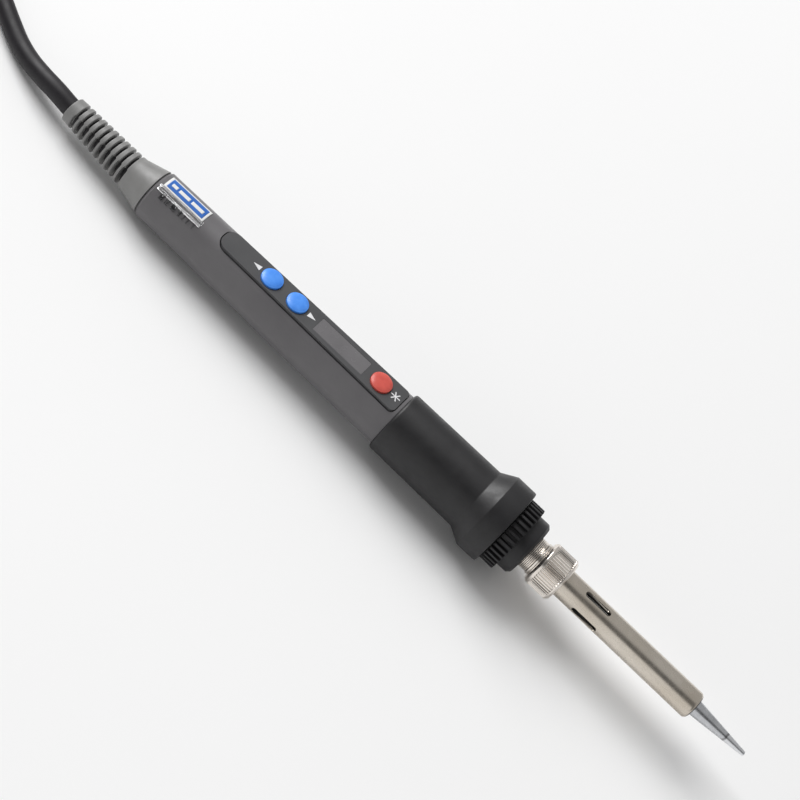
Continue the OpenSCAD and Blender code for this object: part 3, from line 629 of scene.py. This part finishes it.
# ---------------------------------------------------------------- the plug
def close_face(mesh, place):
    """Fills the plug's face round the hole for a socket's earth pin, and makes that hole."""
    around = 32
    bm = bmesh.new()
    bm.from_mesh(mesh)
    edges = [e for e in bm.edges if e.is_boundary]
    top, foot = [], []
    for k in range(around):
        angle = 2 * math.pi * k / around
        y, z = EARTH_HOLE_R * math.sin(angle), EARTH_HOLE_X + EARTH_HOLE_R * math.cos(angle)
        top.append(bm.verts.new(place(PLUG_T - FACE_DEPTH, y, z)))
        foot.append(bm.verts.new(place(PLUG_T - EARTH_HOLE_DEPTH, y, z)))
    edges += [bm.edges.new((a, b)) for a, b in zip(top, top[1:] + top[:1])]
    bmesh.ops.triangle_fill(bm, use_beauty=True, edges=edges)
    for k in range(around):
        bm.faces.new([top[k - 1], top[k], foot[k], foot[k - 1]])
    bm.faces.new(foot)
    bmesh.ops.recalc_face_normals(bm, faces=bm.faces)
    bm.to_mesh(mesh)
    bm.free()
    mesh.polygons.foreach_set("use_smooth", [True] * len(mesh.polygons))
    mesh.set_sharp_from_angle(angle=math.radians(40))


def add_plug():
    """Angled plug on its back: round body, ribbed strain relief, pins and earth clips."""
    half, slot_foot = PLUG_T / 2, PLUG_T - CLIP_SLOT_LEN
    rim_r, rim_fillet = 14.6, 1.4
    flutes, flute_depth, flute_margin = 24, 0.5, 4

    def upright(x, y, z):
        return on_floor(PLUG_X + z, PLUG_Y + y, x)

    def lying(x, y, z):
        return on_floor(PLUG_X + x, PLUG_Y + y, half + z)

    def side_relief(x, r, angle):
        # a slot for each earth clip, and finger flutes on the two sides between them
        if abs(r * math.sin(angle)) < CLIP_SLOT_W / 2 and x > slot_foot:
            return max(0, r - CLIP_SLOT_R)
        off_the_side = not flute_margin < x < PLUG_T - flute_margin or r < PLUG_R - 0.1
        if off_the_side or abs(math.cos(angle)) > 0.8:
            return 0
        return flute_depth * max(0, math.cos(angle * flutes)) ** 2

    outline = fillets([
        (0, 0), (0, PLUG_R, rim_fillet), (slot_foot, PLUG_R), (slot_foot + 0.05, PLUG_R),
        (PLUG_T, PLUG_R, rim_fillet), (PLUG_T, rim_r), (PLUG_T - FACE_DEPTH, rim_r - 0.2),
    ])
    shell = turned("plug_shell", stations(outline, 1.0), "handle", "plug_black", 240, upright,
                   relief=side_relief)
    close_face(shell.data, upright)
    rings = [(PLUG_R - 2.2, 7.7), (PLUG_R - 0.5, 7.4, 1)]
    ribs, rib_w, root_r, taper = 7, 1.3, 6.6, 2.6
    start, end = PLUG_R + 1.6, PLUG_R - RELIEF_OVERLAP + PLUG_RELIEF - 1.2
    for i in range(ribs):
        x = start + (end - start) * i / ribs
        r = root_r - taper * i / (ribs - 1)
        rings += [(x, r, 0.25), (x + rib_w, r - 0.15, 0.25), (x + rib_w, r - 0.95, 0.15),
                  (x + (end - start) / ribs, r - 1.1, 0.15)]
    rings += [(end, CORD_R + 1.1, 0.3), (end + 1.2, CORD_R + 1.05, 0.35),
              (end + 1.2, CORD_R)]
    relief = turned("plug_relief", fillets(rings, 3), "handle", "plug_black", 64, lying)
    pins = []
    for side_of in (-1, 1):
        def standing(x, y, z, s=side_of):
            return on_floor(PLUG_X + z, PLUG_Y + s * PIN_SPACING / 2 + y,
                            PLUG_T - FACE_DEPTH + x)
        pins.append(turned(
            f"plug_pin_{'left' if side_of < 0 else 'right'}",
            fillets([(0, PIN_R), (PIN_LEN + FACE_DEPTH, PIN_R, 1.5), (PIN_LEN + FACE_DEPTH, 0)]),
            "handle", "pin_metal", 48, standing))
        pins.append(turned(
            f"plug_pin_collar_{'left' if side_of < 0 else 'right'}",
            fillets([(0, PIN_R + 1), (0.45, PIN_R + 1, 0.2), (0.45, PIN_R + 0.1)]),
            "handle", "plug_black", 48, standing))
    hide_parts("plug_body")
    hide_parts("plug_body")
    for pin in pins:
        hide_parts("plug_pins")
    return [shell, relief, *pins, frame["nodes"]["plug_earth_clips"]]


plug = add_plug()


# ---------------------------------------------------------------- cord boot
def add_boot():
    """Ribbed boot: narrow grooves on top, cut wider and through to the lead on the flanks. The groove floors take
    the lead's black: the lead itself on the flanks, painted shade in the grooves on top.
    """
    plain_len, first_groove = 3, 1.7
    pitch = (BOOT_RIBS - plain_len) / BOOT_GROOVES
    taper = (BOOT_FRONT_R - BOOT_REAR_R) / BOOT_RIBS
    # half the width of a groove on top and on the flanks, and the length of its slanted side
    narrow, wide, edge = GROOVE_W / 2 - 0.08, GROOVE_W / 2 + 0.2, 0.06
    grooves = [-BOOT_CONE - first_groove - i * pitch for i in range(BOOT_GROOVES)]

    def radius(x):
        return BOOT_FRONT_R + taper * (x + BOOT_CONE)

    def cut(x, r, angle):
        off = min(abs(x - g) for g in grooves)
        if off > wide + 0.3 or r < radius(x) - 0.1:
            return 0
        flank = min(1, max(0, (abs(math.sin(angle)) - 0.7) / 0.07))
        half = narrow + flank * (wide - narrow)
        through = radius(x) - CORD_R - 0.1
        depth = min(1, through) * (1 - flank) + through * flank
        rounding = 0.12 * math.exp(-(max(0, off - half) / 0.1) ** 2)
        return rounding + depth * min(1, max(0, (half + edge - off) / edge))

    neck_len, neck_r = 3, 4.9
    profile = fillets([(neck_len, 0), (neck_len, neck_r), (0, neck_r),
                       (-0.05, BODY_REAR_R - 0.25, 0.15),
                       (-0.9, BODY_REAR_R - 0.5, 0.3), (-BOOT_CONE, BOOT_FRONT_R, 1)], 4)
    steps = [wide + 0.22, wide + 0.12, wide + edge, wide, wide - 0.1, narrow + 0.1,
             narrow + edge, narrow, narrow - 0.1]
    for g in grooves:
        profile += [(g + step, radius(g + step)) for step in steps + [-h for h in steps[::-1]]]
    end = -BOOT_CONE - BOOT_RIBS
    profile += fillets([(end + 0.6, BOOT_REAR_R), (end, BOOT_REAR_R, 0.35), (end, CORD_R + 0.1),
                        (end + 3, CORD_R)], 4)
    # groove floors deeper than 0.9 mm get the lead's black: the lead seen through the cut on the flanks, painted
    # shade in the grooves on top
    boot = turned("boot_skin", profile, "handle", "boot_grey", 144, bend=bent, relief=cut,
                  sharp=50, deep=(0.9, lead_and_groove_shade_paint))
    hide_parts("cord_boot")
    return boot


boot = add_boot()


# ---------------------------------------------------------------- grip and nose cap
def add_grip():
    profile = fillets([
        (BODY_LEN + 3, NOSE_R), (BODY_LEN + 0.05, NOSE_R), (BODY_LEN + 0.05, SLEEVE_REAR_R, 0.9),
        (SLEEVE_END, SLEEVE_FRONT_R, 0.9), (COLLAR_X, COLLAR_R, 0.45), (CAP_X, COLLAR_R, 0.45),
        (CAP_X, NOSE_R), (CAP_X - 3, NOSE_R),
    ], 6)
    grip = turned("grip_skin", profile, "handle", "grip_rubber", 128)
    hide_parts("grip_sleeve")


def add_nose_cap():
    count, depth, bore_r = 36, 0.95, 7.4
    start, end = CAP_X + 0.15, CAP_RING_END
    knurl = axial_grooves(count, depth, 0.56, 0.14, start + 0.2, CAP_FRONT, CAP_RING_R - 0.6)
    ring = fillets([(start + 2, bore_r), (start, bore_r), (start, CAP_RING_R - 0.15, 0.12),
                    (start + 0.3, CAP_RING_R), (end, CAP_RING_R, 0.2), (end, CAP_END_R + 0.2)], 2)
    cap = fillets([(end, CAP_END_R + 0.2), (end, CAP_END_R + 0.1), (end + 0.1, CAP_END_R, 0.3),
                   (CAP_FRONT - 0.9, CAP_END_R, 0.5), (CAP_FRONT, CAP_END_R - 0.9, 0.4),
                   (CAP_FRONT, 5.2, 0.15), (CAP_FRONT - 3, 5.2)], 4)
    piece = turned("nose_cap_skin", ring + cap[1:], "cap", "cap_black", count * 16,
                   relief=knurl, sharp=30)
    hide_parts("nose_cap")


add_grip()
add_nose_cap()


# ---------------------------------------------------------------- neck, nut, barrel, tip
def add_neck():
    thread_pitch, thread_depth = 0.46, 0.14
    profile = [(NOSE_END + 1.2, 6), (NOSE_END + 1.2, NECK_R)]
    x = CAP_FRONT - 1.6
    while x < NUT_X - 1.6:
        profile += [(x, NECK_R - thread_depth), (x + 0.16, NECK_R), (x + 0.3, NECK_R)]
        x += thread_pitch
    rim = NUT_X - 1.1
    rim_r = NECK_R + NECK_RIM
    profile += [(rim - 0.1, NECK_R - 0.1), (rim, NECK_R + 0.02), (rim + 0.2, rim_r, 0.1),
                (rim + 0.7, rim_r, 0.1), (rim + 0.9, NECK_R), (NECK_FRONT, NECK_R),
                (NECK_FRONT, NECK_R - 1), (NOSE_END - 2, NECK_R - 1)]
    neck = turned("neck_skin", fillets(profile, 3), "handle", "nickel", 96, sharp=50)
    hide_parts("threaded_neck")


def add_nut():
    count, depth, bore_r, bevel = 48, 0.28, NECK_R + 0.1, 0.7
    knurl = axial_grooves(count, depth, 0.62, 0.3, NUT_X + 1.5, BARREL_X - 1.1, NUT_R - 0.1)
    profile = fillets([
        (NUT_X + 3, bore_r), (NUT_X, bore_r), (NUT_X, NUT_R - bevel, 0.2),
        (NUT_X + bevel, NUT_R, 0.25), (NUT_X + 1.4, NUT_R), (NUT_X + 1.6, NUT_R),
        (BARREL_X - 1.2, NUT_R), (BARREL_X - 1, NUT_R), (BARREL_X - bevel, NUT_R, 0.25),
        (BARREL_X, NUT_R - bevel, 0.2), (BARREL_X, BARREL_R, 0.1), (BARREL_X - 1, BARREL_R),
    ], 3)
    nut = turned("nut_skin", stations(profile, 0.7), "nut", "nickel", count * 8, relief=knurl,
                 sharp=30)
    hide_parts("barrel_nut")


def add_tip():
    bore_end, bore_r, shoulder = 189, 2.05, BARREL_FRONT - 1.7
    profile = fillets([
        (bore_end, 0), (bore_end, bore_r), (SHANK_X, bore_r), (SHANK_X, SHANK_R, 0.3),
        (shoulder, SHANK_R), (shoulder + 0.8, TIP_BASE_R + 0.05), (BARREL_FRONT, TIP_BASE_R, 0.5),
        (TIP_END - 0.25, TIP_POINT_R, 0.4), (TIP_END, TIP_POINT_R * 0.5, 0.2), (TIP_END, 0),
    ], 5)
    tip = turned("tip_skin", stations(profile, 1.2), "barrel", "tip_plating", 64)
    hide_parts("soldering_tip")


add_neck()
add_nut()
add_tip()


# ---------------------------------------------------------------- buttons
def add_button(name, x, slot, body):
    edge = PANEL_Z + BUTTON_SIDE
    crown = [(edge + BUTTON_CROWN * math.cos(a), BUTTON_R * 0.96 * math.sin(a) ** 0.8)
             for a in (1.3, 1.05, 0.85, 0.65, 0.45, 0.25)]
    profile = fillets([
        (BUTTON_LOW, 0), (BUTTON_LOW, BUTTON_FLANGE_R), (BUTTON_FLANGE_TOP, BUTTON_FLANGE_R),
        (BUTTON_FLANGE_TOP, BUTTON_R), (edge + 0.1, BUTTON_R, 0.3), *crown,
        (edge + BUTTON_CROWN, 0),
    ], 5)

    def upright(px, py, pz):
        return lay(x + pz, py, px)

    button = turned(name + "_skin", profile, body, slot, 64, upright)
    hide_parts(name)


add_button("down_button", DOWN_X, "button_blue", "down_key")
add_button("up_button", UP_X, "button_blue", "up_key")
add_button("power_button", POWER_X, "button_red", "power_key")


# ---------------------------------------------------------------- label
def patch(name, x0, x1, low, high, lift, paint, nx=60, na=36):
    """A thin skin on the handle from x0 to x1 and between two angles from the top, which
    count towards +Y. lift(x, angle) is its height over the handle, in millimetres."""
    bm = bmesh.new()
    grid = []
    for i in range(nx + 1):
        x = x0 + (x1 - x0) * i / nx
        row = []
        for k in range(na + 1):
            angle = low + (high - low) * k / na
            r = BODY_REAR_R + (BODY_FRONT_R - BODY_REAR_R) * x / BODY_LEN + lift(x, angle)
            turn = math.radians(angle)
            row.append(bm.verts.new(lay(x, r * math.sin(turn), r * math.cos(turn))))
        grid.append(row)
    for one, two in zip(grid, grid[1:]):
        for k in range(na):
            bm.faces.new([one[k], one[k + 1], two[k + 1], two[k]])
    skin = finish_mesh(name, to_mesh(name, bm), "handle", "label_blue", paint=paint)
    thick = skin.modifiers.new("thickness", "SOLIDIFY")
    thick.thickness = 0.04 * MM
    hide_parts("rear_label")
    return skin


def add_label():
    """Printed label under a clear film whose lower edge is crumpled, with painted shadow under its folds. No
    lettering.
    """
    film_start, film_end, film_rise = 1.3, 16.4, 0.7
    fold_low, fold_high = -42, -29
    # angle, height and width of each ridge of the film
    crests = ((-17, 0.22, 1), (-20.5, 0.34, 1.1), (-24.5, 0.42, 1.2), (-28, 0.34, 1.1))

    def ridges(x, angle):
        ends = max(0, min(1, (x - film_start) / film_rise, (film_end - x) / film_rise))
        height = sum(
            high * math.exp(-((angle - at - 0.7 * math.sin(x * 0.5 + at)) / wide) ** 2)
            for at, high, wide in crests)
        return 0.1 + ends * height * (0.85 + 0.15 * math.sin(x * 1.3 + angle * 0.4))

    def folds(x, angle):
        rise = math.sin(math.pi * (angle - fold_low) / (fold_high - fold_low))
        return 0.1 + rise * (0.12 + 0.3 * max(0, math.sin(x * 5.2 + 0.8 * math.sin(x))) ** 2)

    patch("label_border", 1.9, 15.9, -16, 22, lambda x, a: 0.05, label_white_paint)
    patch("label_field", 2.6, 15.2, -11.5, 18, lambda x, a: 0.08, label_paint)
    for i, (x0, x1) in enumerate(((3.4, 5.2), (5.9, 9.6), (10.3, 14.4))):
        patch(f"label_bar_{i}", x0, x1, -3, 6, lambda x, a: 0.11, label_white_paint, 12, 12)
    patch("label_film", film_start, film_end, -30, -14.5, ridges, film_paint, 150, 80)
    # the folds are real relief; the dark streaks on them are painted shadow
    patch("label_fold_shadows", 2.2, 15.2, fold_low, fold_high, folds, fold_shadow_paint, 200, 24)


add_label()


# ---------------------------------------------------------------- light and floor
def add_stage():
    floor_paint = Paint("floor", (0.95, 0.95, 0.95), 0.9)
    floor_paint.color((0.94, 0.94, 0.94), (0.96, 0.96, 0.96), 3)
    half = 3
    bm = bmesh.new()
    for x, y in ((-half, -half), (half, -half), (half, half), (-half, half)):
        bm.verts.new((x, y, 0))
    bm.faces.new(bm.verts)
    mesh = to_mesh("floor", bm)
    mesh.materials.append(floor_paint.material)
    floor = bpy.data.objects.new("floor", mesh)
    bpy.context.scene.collection.objects.link(floor)

    bpy.context.scene.view_settings.view_transform = "Standard"
    world = bpy.data.worlds.new("world")
    bpy.context.scene.world = world
    world.use_nodes = True
    # studio: pale card low in front, dark where the camera stands, soft grey behind
    nodes, links = world.node_tree.nodes, world.node_tree.links
    direction = nodes.new("ShaderNodeTexCoord")
    split = nodes.new("ShaderNodeSeparateXYZ")
    shade = nodes.new("ShaderNodeValToRGB")
    spread = nodes.new("ShaderNodeMapRange")
    spread.inputs["From Min"].default_value = -1
    links.new(direction.outputs["Generated"], split.inputs["Vector"])
    links.new(split.outputs["Y"], spread.inputs["Value"])
    links.new(spread.outputs["Result"], shade.inputs["Fac"])
    links.new(shade.outputs["Color"], nodes["Background"].inputs["Color"])
    stops = ((0, 0.85), (0.07, 0.85), (0.13, 0.13), (0.3, 0.13), (0.42, 0.45), (1, 0.45))
    ramp = shade.color_ramp
    while len(ramp.elements) < len(stops):
        ramp.elements.new(0.5)
    for element, (at, value) in zip(ramp.elements, stops):
        element.position = at
        element.color = (value, value, value, 1)

    place = Vector((-2, 0.8, 1.8))
    data = bpy.data.lights.new("key_light", "AREA")
    data.shape = "RECTANGLE"
    data.size = data.size_y = 1.9
    data.energy = 82
    light = bpy.data.objects.new("key_light", data)
    light.location = place
    light.rotation_euler = (-place).to_track_quat("-Z", "Y").to_euler()
    bpy.context.scene.collection.objects.link(light)


add_stage()
